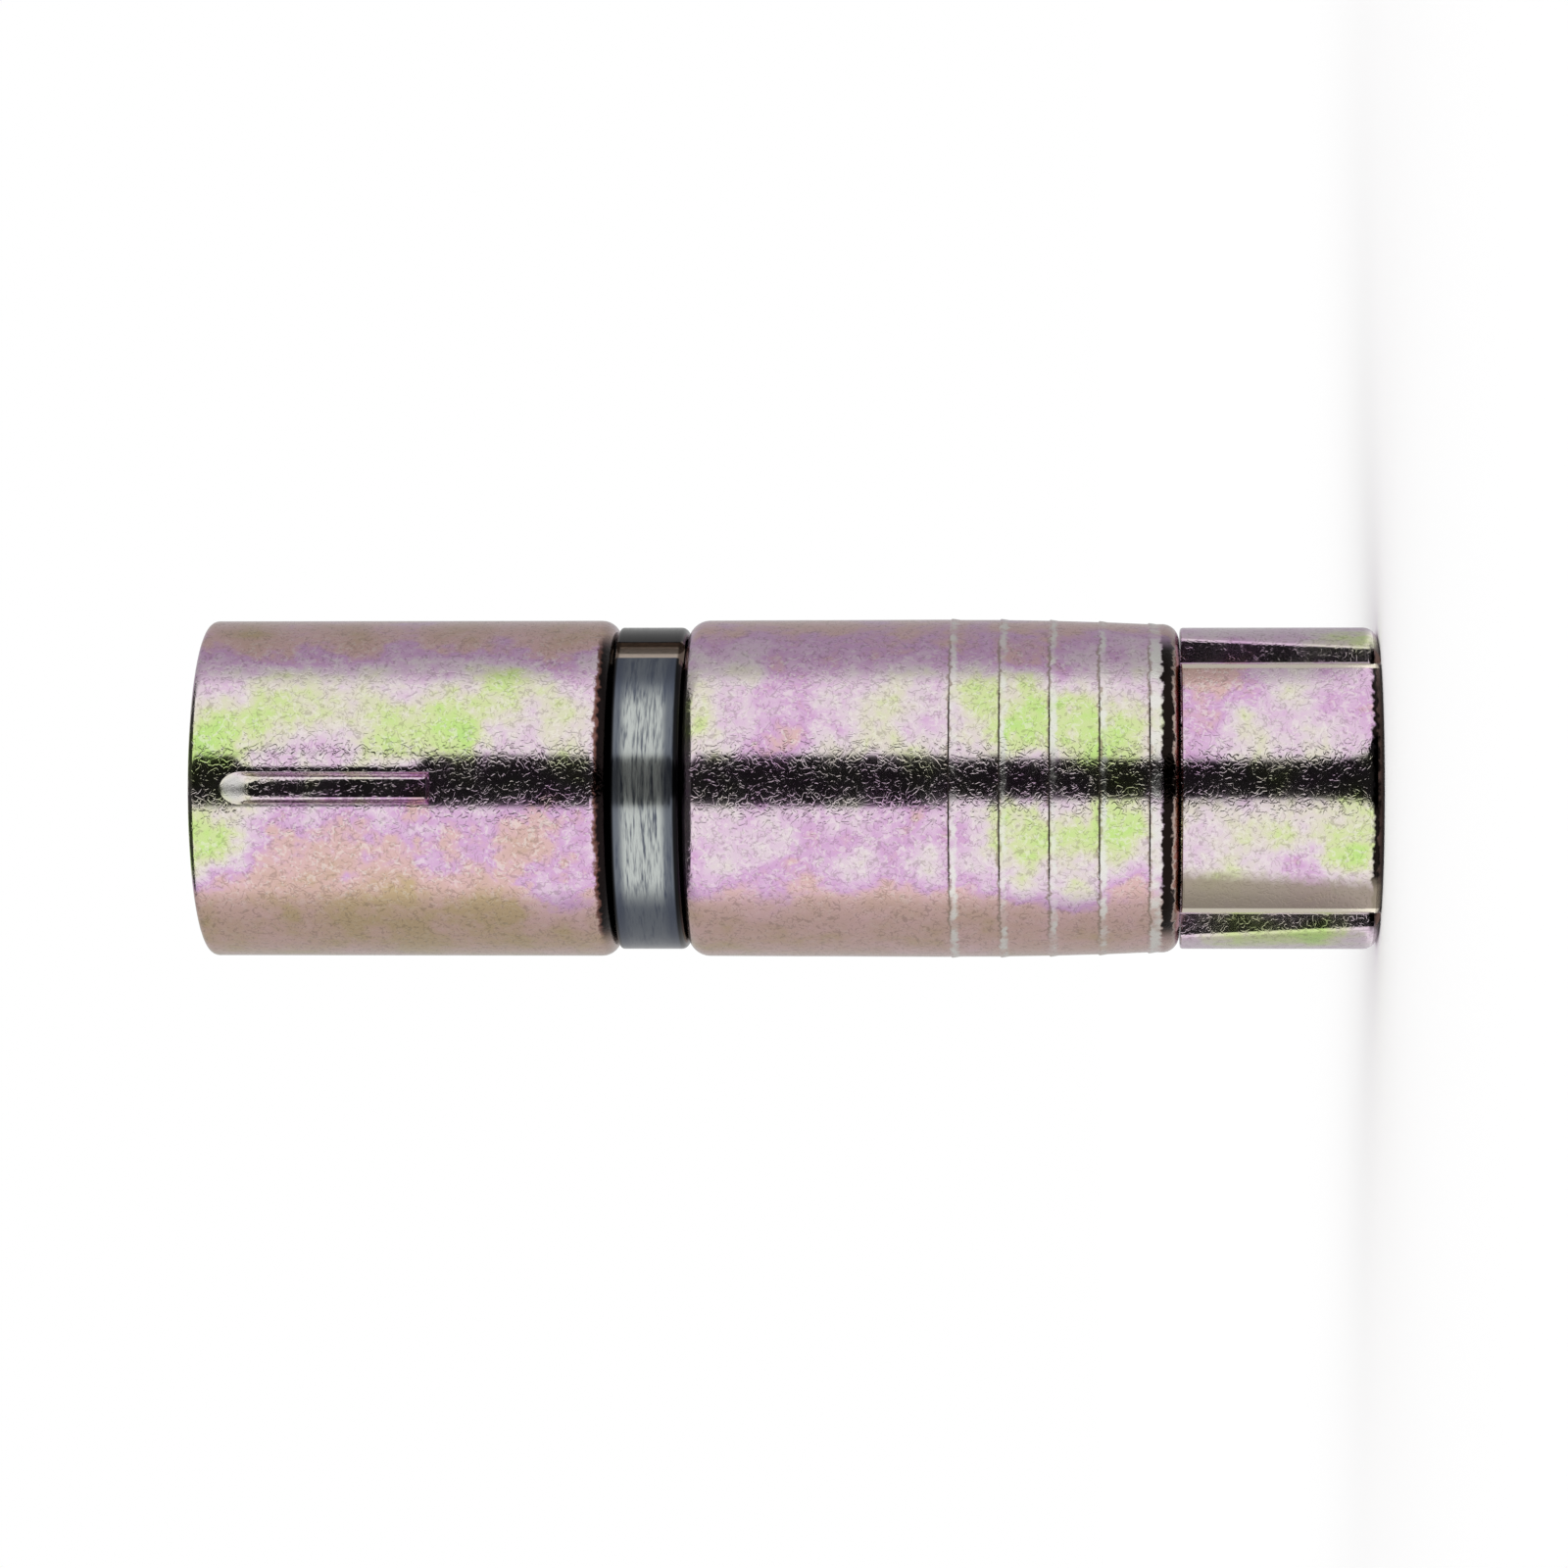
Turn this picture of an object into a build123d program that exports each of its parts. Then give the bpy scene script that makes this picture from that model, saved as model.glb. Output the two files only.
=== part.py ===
"""Sleeve-type expansion anchor: distance sleeve, compression ring, barbed expansion sleeve and cone nut.

The anchor stands on the free end of its cone nut, with +Z along the bolt's axis towards the mouth.
Its front, with the pressed groove, faces -Y. All sizes are in millimetres.
"""

from build123d import *
from math import cos, radians, sin, tan
import os

os.makedirs("parts", exist_ok=True)

# Both sleeves
outer_radius = 7.9
sleeve_wall = 1.9

# Bevels that make up the round of a rolled rim, so that it stays light
rim_bevels = 3

# Distance sleeve
distance_length = 19.4
distance_mouth_round = 0.4
distance_foot_round = 0.85
distance_bore_break = 0.2

# Pressed groove on the front of the distance sleeve
groove_length = 9.6
groove_from_mouth = 1.6
groove_width = 1.45
groove_floor_width = 0.9
groove_depth = 0.42
groove_foot_slope = 0.15
groove_ramp = 1.4

# Compression ring
ring_step = 0.33
ring_width = 3.2
ring_shell_chamfer = 0.35
ring_distance_chamfer = 0.15
spigot_length = 3.0
spigot_wall = 0.85
spigot_clearance = 0.05
spigot_lead = 0.3
recess_width = 1.5
recess_depth = 0.37
recess_angle = 58.75

# Expansion sleeve and its barb rings
shell_length = 23.0
shell_ring_round = 1.0
shell_nut_round = 0.9
shell_lip_land = 0.2
barb_count = 5
barb_pitch = 2.3
barb_first = 1.4
barb_stand = 0.085
barb_step = 0.05
barb_rise = 0.1
barb_land = 0.3
barb_droop = 0.0136
slit_width = 1.0
slit_length = 17.5

# Cone nut
head_step = 0.37
head_length = 9.2
head_round = 0.65
nose_length = 8.5
nose_taper = 6.5
nose_clearance = 0.15
nose_lead = 0.3
nose_wall = 1.58
thread_lead = 0.8
notch_width = 1.78
pad_edge_break = 0.15
wing_edge_break = 0.25
wing_half_thickness = 2.8
wing_taper = 6.0

# Gap between end faces that meet on pieces that slide
seat_gap = 0.05

# Sizes that follow from the ones above
bore_radius = outer_radius - sleeve_wall
spigot_radius = bore_radius - spigot_clearance
ring_bore_radius = spigot_radius - spigot_wall
ring_radius = outer_radius - ring_step
barb_top_radius = outer_radius + barb_stand
head_radius = outer_radius - head_step
pad_half_width = head_radius - notch_width
shell_foot = head_length + seat_gap
shell_top = shell_foot + shell_length
ring_top = shell_top + ring_width
distance_foot = ring_top + seat_gap
mouth = distance_foot + distance_length


def barb_radius(ring):
    """Crest radius of a barb ring, counted from the nut's end. The crests droop towards the nut."""
    return barb_top_radius - barb_droop * (barb_count - 1 - ring) ** 2


lip_radius = barb_radius(0) - shell_nut_round - shell_lip_land
nose_slope = tan(radians(nose_taper))
nose_base_radius = lip_radius - nose_clearance
nose_tip_radius = nose_base_radius - nose_length * nose_slope
nose_tip = head_length + nose_length
thread_minor_radius = nose_tip_radius - nose_wall


def rolled_foot(radius, level, size):
    """Outline points of a rolled outer rim at a piece's foot, from the flat end to the side."""
    turns = [radians(90 * bevel / rim_bevels) for bevel in range(rim_bevels + 1)]
    return [(radius - size * (1 - sin(turn)), level + size * (1 - cos(turn))) for turn in turns]


def rolled_top(radius, level, size):
    """Outline points of a rolled outer rim at a piece's top, from the side to the flat end."""
    return [(x, 2 * level - z) for x, z in reversed(rolled_foot(radius, level, size))]


def rim(piece, level, circle):
    """One circular edge of a turned piece: its level counted along Z, and its place there by radius."""
    circles = piece.edges().filter_by(GeomType.CIRCLE).group_by(Axis.Z)[level]
    return circles.sort_by(SortBy.RADIUS)[circle]


# Distance sleeve: a plain turned tube with rolled rims and a groove pressed into its front
with BuildPart() as distance_sleeve:
    with BuildSketch(Plane.XZ):
        with BuildLine():
            Polyline(
                (bore_radius, distance_foot),
                *rolled_foot(outer_radius, distance_foot, distance_foot_round),
                *rolled_top(outer_radius, mouth, distance_mouth_round),
                (bore_radius, mouth),
                close=True,
            )
        make_face()
    revolve(axis=Axis.Z)
    chamfer([rim(distance_sleeve, -1, 0), rim(distance_sleeve, 0, 0)], distance_bore_break)
    # The groove has a steep wall at its foot and a long ramp up towards the mouth
    groove_top = mouth - groove_from_mouth
    groove_foot = groove_top - groove_length
    for width, low, high, depth in (
        (groove_floor_width, groove_foot + groove_foot_slope, groove_top - groove_ramp, groove_depth),
        (groove_width, groove_foot, groove_top, 0),
    ):
        with BuildSketch(Plane.XZ.offset(outer_radius - depth)):
            with Locations((0, low)):
                Rectangle(width, high - low - width / 2, align=(Align.CENTER, Align.MIN))
            with Locations((0, high - width / 2)):
                Circle(width / 2)
    loft(mode=Mode.SUBTRACT)
distance_sleeve.part.label = "distance_sleeve"

# Compression ring: a flange between the sleeves, with a thin spigot standing in each of them
with BuildPart() as compression_ring:
    with BuildSketch(Plane.XZ):
        with BuildLine():
            Polyline(
                (ring_bore_radius, shell_top - spigot_length),
                (spigot_radius, shell_top - spigot_length),
                (spigot_radius, shell_top),
                (ring_radius, shell_top),
                (ring_radius, ring_top),
                (spigot_radius, ring_top),
                (spigot_radius, ring_top + spigot_length),
                (ring_bore_radius, ring_top + spigot_length),
                close=True,
            )
        make_face()
    revolve(axis=Axis.Z)
    chamfer(rim(compression_ring, 1, -1), ring_shell_chamfer)
    chamfer(rim(compression_ring, -2, -1), ring_distance_chamfer)
    chamfer([rim(compression_ring, 0, -1), rim(compression_ring, -1, -1)], spigot_lead)
    # The moulding gate leaves a shallow recess across the rim
    with BuildSketch(Plane.XY.offset(shell_top)):
        with PolarLocations(ring_radius - recess_depth, 1, start_angle=recess_angle - 90):
            Rectangle(ring_radius, recess_width, align=(Align.MIN, Align.CENTER))
    extrude(amount=ring_width, mode=Mode.SUBTRACT)
compression_ring.part.label = "compression_ring"

# Expansion sleeve: a turned outline with saw-tooth barb rings, and two slits that let it spread
with BuildPart() as expansion_sleeve:
    with BuildSketch(Plane.XZ):
        with BuildLine():
            outline = [(lip_radius, shell_foot), *rolled_foot(barb_radius(0), shell_foot, shell_nut_round)]
            for ring in range(barb_count):
                crest = barb_radius(ring)
                line = shell_foot + barb_first + ring * barb_pitch
                outline += [(crest, line - barb_land), (crest, line), (crest - barb_step, line + barb_rise)]
            outline += [*rolled_top(outer_radius, shell_top, shell_ring_round), (bore_radius, shell_top)]
            outline += [(bore_radius, shell_foot + (lip_radius - bore_radius) / nose_slope)]
            Polyline(*outline, close=True)
        make_face()
    revolve(axis=Axis.Z)
    slit_end = shell_foot + slit_length - slit_width / 2
    with BuildSketch(Plane.YZ):
        with Locations((0, shell_foot)):
            Rectangle(slit_width, slit_end - shell_foot, align=(Align.CENTER, Align.MIN))
        with Locations((0, slit_end)):
            Circle(slit_width / 2)
    extrude(amount=barb_top_radius, both=True, mode=Mode.SUBTRACT)
expansion_sleeve.part.label = "expansion_sleeve"

# Cone nut: a head nearly as wide as the sleeves, and a tapered nose that stands inside the shell
with BuildPart() as cone_nut:
    with BuildSketch(Plane.XZ):
        with BuildLine():
            Polyline(
                (thread_minor_radius, 0),
                *rolled_foot(head_radius, 0, head_round),
                (head_radius, head_length),
                (nose_base_radius, head_length),
                (nose_tip_radius, nose_tip),
                (thread_minor_radius, nose_tip),
                close=True,
            )
        make_face()
    revolve(axis=Axis.Z)
    chamfer(rim(cone_nut, -1, -1), nose_lead)
    chamfer([rim(cone_nut, -1, 0), rim(cone_nut, 0, 0)], thread_lead)
    # Four corner notches leave a broad pad at front and back, and a wedge-shaped wing at each side
    wing_foot_half = wing_half_thickness + head_length * tan(radians(wing_taper))
    with BuildSketch(Plane.YZ.offset(pad_half_width)):
        with BuildLine():
            Polyline(
                (wing_foot_half, 0),
                (wing_half_thickness, head_length),
                (head_radius, head_length),
                (head_radius, 0),
                close=True,
            )
        make_face()
        mirror(about=Plane.YZ)
    notches = extrude(amount=head_radius - pad_half_width, mode=Mode.PRIVATE)
    add([notches, notches.mirror(Plane.YZ)], mode=Mode.SUBTRACT)
    chamfer(cone_nut.edges(Select.NEW).filter_by(Axis.Z), pad_edge_break)
    chamfer(cone_nut.edges().filter_by(GeomType.ELLIPSE), wing_edge_break)
cone_nut.part.label = "cone_nut"

for piece in (distance_sleeve, compression_ring, expansion_sleeve, cone_nut):
    export_step(piece.part, f"parts/{piece.part.label}.step")
    print(piece.part.label, "volume", round(piece.part.volume, 1))
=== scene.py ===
# %% [markdown]
# # A sleeve-type expansion anchor
#
# The anchor stands on the free end of its cone nut, with +Z along the bolt's axis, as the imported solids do.
# From the foot up it has the cone nut, the barbed shell, a dark ring that crushes, and the distance sleeve.
# The solids carry the sizes and the motion. This lesson gives each piece its rounded edges and its plated finish.

from math import atan2, cos, hypot, pi, radians, sin, sqrt, tan

import bmesh
import bpy
from mathutils import Matrix, Vector


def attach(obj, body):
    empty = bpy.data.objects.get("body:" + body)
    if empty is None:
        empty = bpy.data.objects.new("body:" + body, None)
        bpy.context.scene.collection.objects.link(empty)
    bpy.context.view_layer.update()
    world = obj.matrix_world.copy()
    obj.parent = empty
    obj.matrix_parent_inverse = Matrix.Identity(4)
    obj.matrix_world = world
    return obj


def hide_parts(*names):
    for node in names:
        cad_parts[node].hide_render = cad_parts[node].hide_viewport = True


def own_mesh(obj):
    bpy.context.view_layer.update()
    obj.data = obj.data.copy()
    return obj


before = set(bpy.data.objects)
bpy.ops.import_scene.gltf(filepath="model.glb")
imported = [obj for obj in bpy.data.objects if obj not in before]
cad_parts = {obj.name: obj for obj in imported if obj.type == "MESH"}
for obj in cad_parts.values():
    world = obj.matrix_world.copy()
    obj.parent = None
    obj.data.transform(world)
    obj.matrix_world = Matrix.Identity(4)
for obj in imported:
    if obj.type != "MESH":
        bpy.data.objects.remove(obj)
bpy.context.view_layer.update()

# %% [markdown]
# ## How a turned piece is made
#
# Every piece of the anchor is turned, so it starts as half an outline. A single point is walked round the
# outline by extruding it from corner to corner, chosen corners are rounded with a vertex bevel, and the outline
# is spun about the axis. A closed outline gives a closed tube with no poles. A cylinder primitive with its
# edges bevelled would do for the plain sleeve, but not for five barb rings or a tapered nose.
#
# Operators act on what is selected, so the first helpers choose a piece, or parts of it by their place. Lengths
# are written in millimetres and turned into metres where they are used.

# %% Choose a piece, or parts of it
MM = 0.001


def start_fresh():
    """Deselect everything, so that the operators act on the new piece alone."""
    bpy.ops.object.select_all(action="DESELECT")


def use(piece):
    """Make this piece the one that operators act on."""
    start_fresh()
    piece.select_set(True)
    bpy.context.view_layer.objects.active = piece


def pick(kind, test):
    """In edit mode, select the vertices or edges whose middle, in mm, passes the test. Returns their number."""
    bpy.ops.mesh.select_mode(type=kind)
    bpy.ops.mesh.select_all(action="DESELECT")
    mesh = bpy.context.object.data
    shape = bmesh.from_edit_mesh(mesh)
    chosen = 0
    for part in {"VERT": shape.verts, "EDGE": shape.edges}[kind]:
        corners = [part.co] if kind == "VERT" else [v.co for v in part.verts]
        if test(sum(corners, Vector()) / len(corners) / MM):
            part.select_set(True)
            chosen += 1
    shape.select_flush_mode()
    bmesh.update_edit_mesh(mesh)
    return chosen


# %% [markdown]
# The outline is walked in edit mode, which is left open for what comes next. The walk ends where it began, and
# points that lie on one another are welded. A plane merged to its middle gives the first point, because there
# is no operator that adds a lone one.

# %% Walk an outline
WELD = 1e-7


def extrude(step):
    """Extrude what is selected by this step in metres."""
    bpy.ops.mesh.extrude_region_move(TRANSFORM_OT_translate={"value": step})


def weld(reach=WELD):
    """Join the points that lie on one another."""
    bpy.ops.mesh.select_all(action="SELECT")
    bpy.ops.mesh.remove_doubles(threshold=reach)


def walk(name, points):
    """Extrude one point along a line of places in mm, and close the line."""
    start_fresh()
    bpy.ops.mesh.primitive_plane_add(size=MM, location=(0, 0, 0))
    piece = bpy.context.object
    piece.name = piece.data.name = name
    bpy.ops.object.mode_set(mode="EDIT")
    bpy.ops.mesh.select_mode(type="VERT")
    bpy.ops.mesh.merge(type="CENTER")
    places = [Vector(p) * MM for p in points]
    bpy.ops.transform.translate(value=places[0])
    for here, there in zip(places, places[1:] + places[:1]):
        extrude(there - here)
    weld()
    return piece


# %% [markdown]
# The corners are rounded on the outline, where a corner is one point. On the spun piece each would be a ring of
# edges to find again. The spin takes 240 steps, so that the silhouette stays round in a close view.

# %% Round the corners and spin
AROUND = 240
AT_CORNER = 0.004


def round_corners(size, steps, *corners):
    """Round the outline's corners at these places (radius, height) in mm."""
    found = pick("VERT", lambda p: any(hypot(p.x - r, p.z - z) < AT_CORNER for r, z in corners))
    bpy.ops.mesh.bevel(offset=size * MM, segments=steps, affect="VERTICES", clamp_overlap=False)
    print("corners rounded by", size, "mm:", found)


def close_up():
    """Turn all the faces outwards and leave edit mode."""
    bpy.ops.mesh.select_all(action="SELECT")
    bpy.ops.mesh.normals_make_consistent(inside=False)
    bpy.ops.object.mode_set(mode="OBJECT")


def turn(piece):
    """Spin the outline about the axis into a closed piece."""
    bpy.ops.mesh.select_all(action="SELECT")
    bpy.ops.mesh.spin(steps=AROUND, angle=2 * pi, center=(0, 0, 0), axis=(0, 0, 1))
    weld()
    close_up()
    print(piece.name, "turned:", len(piece.data.polygons), "faces")


# %% [markdown]
# ## The distance sleeve
#
# The plain sleeve at the mouth end carries the load from the fixture to the ring. It is cut from tube, so its
# outer rims are rolled round, more at the foot than at the mouth, and the edges of its bore are only broken. A
# point just past each rolled rim keeps the long side straight under smooth shading.

# %% Turn the distance sleeve
OUTER = 7.9
BORE = 6.0
SLEEVE_FOOT = 35.5
MOUTH = 54.9
FOOT_ROUND = 0.85
MOUTH_ROUND = 0.4

sleeve = walk("distance_sleeve_plated", [
    (BORE, 0, SLEEVE_FOOT),
    (OUTER, 0, SLEEVE_FOOT),
    (OUTER, 0, SLEEVE_FOOT + FOOT_ROUND + 0.15),
    (OUTER, 0, MOUTH - MOUTH_ROUND - 0.1),
    (OUTER, 0, MOUTH),
    (BORE, 0, MOUTH),
])
round_corners(FOOT_ROUND, 8, (OUTER, SLEEVE_FOOT))
round_corners(MOUTH_ROUND, 6, (OUTER, MOUTH))
round_corners(0.2, 2, (BORE, SLEEVE_FOOT), (BORE, MOUTH))
turn(sleeve)

# %% [markdown]
# What can't be turned is cut with a tool, as in the workshop. The exact solver keeps the new edges clean where
# the tool leaves the round side at a shallow angle. The fast one leaves slivers there. Faces that meet gently
# are then shaded smooth, and the real edges stay crisp.

# %% Cut with a tool, and finish the faces
CRISP_FROM = radians(20)


def cut(piece, tool):
    """Cut the tool's shape out of the piece."""
    use(piece)
    blade = piece.modifiers.new("cut", "BOOLEAN")
    blade.operation = "DIFFERENCE"
    blade.solver = "EXACT"
    blade.object = tool
    bpy.ops.object.modifier_apply(modifier="cut")
    bpy.data.objects.remove(tool)
    print(piece.name, "cut:", len(piece.data.polygons), "faces")


def finish_faces(piece):
    """Smooth the faces that meet gently and keep the real edges crisp."""
    use(piece)
    bpy.ops.object.mode_set(mode="EDIT")
    weld()
    bpy.ops.object.mode_set(mode="OBJECT")
    bpy.ops.object.shade_smooth_by_angle(angle=CRISP_FROM)


# %% [markdown]
# A groove is pressed into the sleeve's front. The press leaves rounded lips and a rounded floor, a steep foot and
# a long ramp towards the mouth.
#
# The groove's tool is a slot outline, square at the foot and round at the mouth end, drawn just outside the
# sleeve. It is extruded inwards in small steps, and each step is scaled to the groove's width and length at
# that depth, so that the lips flare out into the sleeve's surface and the floor curves up into the walls.

# %% Press the groove
GROOVE_STEPS = [
    # depth, half width, foot, mouth end
    (-0.10, 0.92, 43.60, 53.48),
    (-0.02, 0.85, 43.64, 53.42),
    (0.03, 0.77, 43.69, 53.30),
    (0.09, 0.71, 43.73, 53.17),
    (0.17, 0.65, 43.77, 53.00),
    (0.26, 0.60, 43.80, 52.78),
    (0.34, 0.55, 43.84, 52.52),
    (0.39, 0.49, 43.90, 52.28),
    (0.42, 0.42, 44.00, 52.00),
]


def slot_outline(half, foot, top, y):
    """A slot, square at its foot and round at its top."""
    arc = [(half * cos(radians(a)), y, top - half + half * sin(radians(a))) for a in range(0, 181, 12)]
    return [(half, y, foot)] + arc + [(-half, y, foot)]


depth, half, foot, top = GROOVE_STEPS[0]
groove_tool = walk("groove_tool", slot_outline(half, foot, top, -(OUTER - depth)))
bpy.ops.mesh.edge_face_add()
for deeper in GROOVE_STEPS[1:]:
    extrude(Vector((0, deeper[0] - depth, deeper[2] - foot)) * MM)
    grow = (deeper[1] / half, 1, (deeper[3] - deeper[2]) / (top - foot))
    bpy.ops.transform.resize(value=grow, center_override=(0, 0, deeper[2] * MM))
    depth, half, foot, top = deeper
close_up()
cut(sleeve, groove_tool)
finish_faces(sleeve)

# %% [markdown]
# ## The crushable ring
#
# The dark ring stands between the two sleeves and collapses when the bolt is tightened. Its flange is a little
# smaller than the sleeves, and a thin spigot at each side stands inside them and keeps the pieces in line.

# %% Turn the ring
RING_FOOT = 32.25
RING_TOP = 35.45
RING = 7.57
SPIGOT = 5.95
RING_BORE = 5.1
SPIGOT_LENGTH = 3

ring = walk("compression_ring_moulded", [
    (RING_BORE, 0, RING_FOOT - SPIGOT_LENGTH),
    (SPIGOT, 0, RING_FOOT - SPIGOT_LENGTH),
    (SPIGOT, 0, RING_FOOT),
    (RING, 0, RING_FOOT),
    (RING, 0, RING_FOOT + 0.5),
    (RING, 0, RING_TOP - 0.25),
    (RING, 0, RING_TOP),
    (SPIGOT, 0, RING_TOP),
    (SPIGOT, 0, RING_TOP + SPIGOT_LENGTH),
    (RING_BORE, 0, RING_TOP + SPIGOT_LENGTH),
])
round_corners(0.35, 6, (RING, RING_FOOT))
round_corners(0.15, 5, (RING, RING_TOP))
round_corners(0.3, 2, (SPIGOT, RING_FOOT - SPIGOT_LENGTH), (SPIGOT, RING_TOP + SPIGOT_LENGTH))
turn(ring)

# %% [markdown]
# The moulding gate has left a shallow recess right across the rim. A box-shaped tool, turned to the gate's place,
# cuts it a little longer than the rim is high.

# %% Cut the gate's recess
RECESS_ANGLE = radians(-31.25)
RECESS_REACH = 8.2
RECESS_SIZE = (2.0, 1.5, 3.4)

start_fresh()
bpy.ops.mesh.primitive_cube_add(
    size=1,
    location=(
        RECESS_REACH * cos(RECESS_ANGLE) * MM,
        RECESS_REACH * sin(RECESS_ANGLE) * MM,
        (RING_FOOT + RING_TOP) / 2 * MM,
    ),
    rotation=(0, 0, RECESS_ANGLE),
    scale=[side * MM for side in RECESS_SIZE],
)
recess_tool = bpy.context.object
bpy.ops.object.transform_apply(location=True, rotation=True, scale=True)
cut(ring, recess_tool)
finish_faces(ring)

# %% [markdown]
# ## The expansion shell
#
# The shell is turned with five saw-tooth barb rings that bite into the drilled hole. Each barb has a short land,
# a sharp step on the side of the ring and a long slope towards the next barb, and the crests droop a little
# towards the nut. The mouth's taper fits the nut's nose.

# %% Turn the shell
SHELL_FOOT = 9.25
SHELL_TOP = 32.25
LIP = 6.667
NOSE_TAPER = radians(6.5)
BARBS = 5
CREST = 7.978
CREST_DROOP = 0.0136
BARB_LINES = [SHELL_FOOT + 1.4 + number * 2.3 for number in range(BARBS)]

crests = [CREST - CREST_DROOP * (BARBS - 1 - number) ** 2 for number in range(BARBS)]
shell_outline = [(LIP, 0, SHELL_FOOT), (crests[0], 0, SHELL_FOOT)]
for crest, line in zip(crests, BARB_LINES):
    shell_outline += [(crest - 0.06, 0, line - 0.38), (crest - 0.025, 0, line - 0.18)]
    shell_outline += [(crest, 0, line), (crest - 0.05, 0, line + 0.07)]
shell_outline += [(OUTER + 0.033, 0, BARB_LINES[-1] + 0.3), (OUTER, 0, SHELL_TOP - 1.2)]
shell_outline += [(OUTER, 0, SHELL_TOP), (BORE, 0, SHELL_TOP)]
shell_outline += [(BORE, 0, SHELL_FOOT + (LIP - BORE) / tan(NOSE_TAPER))]

shell = walk("expansion_sleeve_plated", shell_outline)
round_corners(0.85, 8, (crests[0], SHELL_FOOT))
round_corners(1.0, 8, (OUTER, SHELL_TOP))
turn(shell)

# %% [markdown]
# Two slits let the shell spread when the cone nut is drawn into its mouth. One tool makes both: a bar with a
# round end that passes right through the shell from side to side.

# %% Cut the slits
SLIT_HALF = 0.5
SLIT_LENGTH = 17.5
BAR_REACH = 8.5

slit_end = SHELL_FOOT + SLIT_LENGTH - SLIT_HALF
slit = [(-BAR_REACH, -SLIT_HALF, 8.9), (-BAR_REACH, SLIT_HALF, 8.9)]
for a in range(0, 181, 15):
    slit.append((-BAR_REACH, SLIT_HALF * cos(radians(a)), slit_end + SLIT_HALF * sin(radians(a))))
slit_tool = walk("slit_tool", slit)
bpy.ops.mesh.edge_face_add()
extrude((2 * BAR_REACH * MM, 0, 0))
close_up()
cut(shell, slit_tool)
finish_faces(shell)

# %% [markdown]
# ## The cone nut
#
# The nut has a head nearly as wide as the sleeves and a tapered nose that spreads the shell. The blank is
# turned first, with its bore at the thread's minor diameter and a wide lead-in at both ends for the bolt.

# %% Turn the nut's blank
HEAD = 7.53
HEAD_TOP = 9.2
NOSE_TOP = 17.7
NOSE_BASE = 6.517
NOSE_TIP = 5.549
MINOR = 3.969
LEAD_IN = 0.8

nut = walk("cone_nut_plated", [
    (MINOR + LEAD_IN, 0, 0),
    (HEAD, 0, 0),
    (HEAD, 0, 0.8),
    (HEAD, 0, HEAD_TOP - 0.25),
    (HEAD, 0, HEAD_TOP),
    (NOSE_BASE, 0, HEAD_TOP),
    (NOSE_TIP, 0, NOSE_TOP),
    (MINOR + LEAD_IN, 0, NOSE_TOP),
    (MINOR, 0, NOSE_TOP - LEAD_IN),
    (MINOR, 0, LEAD_IN),
])
round_corners(0.65, 6, (HEAD, 0))
round_corners(0.12, 2, (HEAD, HEAD_TOP))
round_corners(0.3, 2, (NOSE_TIP, NOSE_TOP))
turn(nut)

# %% [markdown]
# The bolt's thread is cut with a tap. The tap is one pitch of the thread's outline, with its inner side left
# open, carried up a helix by a Screw modifier. A spiral swept by hand would need the same arithmetic at every step.

# %% Sweep the tap
MAJOR = 4.7625
PITCH = 1.5875
CORE = 3.9
VALLEY = 0.1
HELIX_WELD = 1e-6

flank = (MAJOR - CORE) * tan(radians(30))
root = PITCH / 8
tooth = [
    (CORE, 0),
    (CORE, VALLEY),
    (MAJOR, VALLEY + flank),
    (MAJOR, VALLEY + flank + root),
    (CORE, VALLEY + 2 * flank + root),
    (CORE, PITCH),
]
tap = walk("tap", [(r, 0, z - 2 * PITCH) for r, z in tooth])
pick("EDGE", lambda p: abs(p.x - CORE) < 0.001 and abs(p.z + 1.5 * PITCH) < 0.001)
bpy.ops.mesh.delete(type="EDGE_FACE")
bpy.ops.object.mode_set(mode="OBJECT")
helix = tap.modifiers.new("helix", "SCREW")
helix.screw_offset = PITCH * MM
helix.iterations = 15
helix.steps = helix.render_steps = 72
helix.use_merge_vertices = True
helix.merge_threshold = HELIX_WELD
use(tap)
bpy.ops.object.modifier_apply(modifier="helix")

# %% [markdown]
# The sweep is open at both ends, well outside the nut. Each end's rim is drawn to a point, which makes the tap a
# closed solid, and the nut is cut with it.

# %% Close the tap and cut the thread
TAP_ENDS = [(-5, 1), (15, 40)]

bpy.ops.object.mode_set(mode="EDIT")
weld(HELIX_WELD)
for low, high in TAP_ENDS:
    bpy.ops.mesh.select_mode(type="EDGE")
    bpy.ops.mesh.select_all(action="DESELECT")
    shape = bmesh.from_edit_mesh(tap.data)
    for edge in shape.edges:
        if edge.is_boundary and low < sum(v.co.z for v in edge.verts) / 2 / MM < high:
            edge.select_set(True)
    bmesh.update_edit_mesh(tap.data)
    bpy.ops.mesh.extrude_region_move()
    bpy.ops.mesh.merge(type="CENTER")
close_up()
cut(nut, tap)

# %% [markdown]
# Four corner notches are cut into the head. They leave a broad pad at front and back and a wedge-shaped wing at
# each side. One notch's tool is a corner block. Where its walls leave the head they flare out along the head's
# round, so the pad keeps a fine rounded edge and the wing a broader one.

# %% Outline of the corner block
PAD_HALF = 5.75
WING_HALF = 2.8
WING_TAPER = radians(6)
PAD_FLARE = 0.28
WING_FLARE = 0.20
BLOCK_REACH = 7.62


def on_circle(radius, angle):
    """The point of a circle about the axis at this angle."""
    return (radius * cos(angle), radius * sin(angle))


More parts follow.
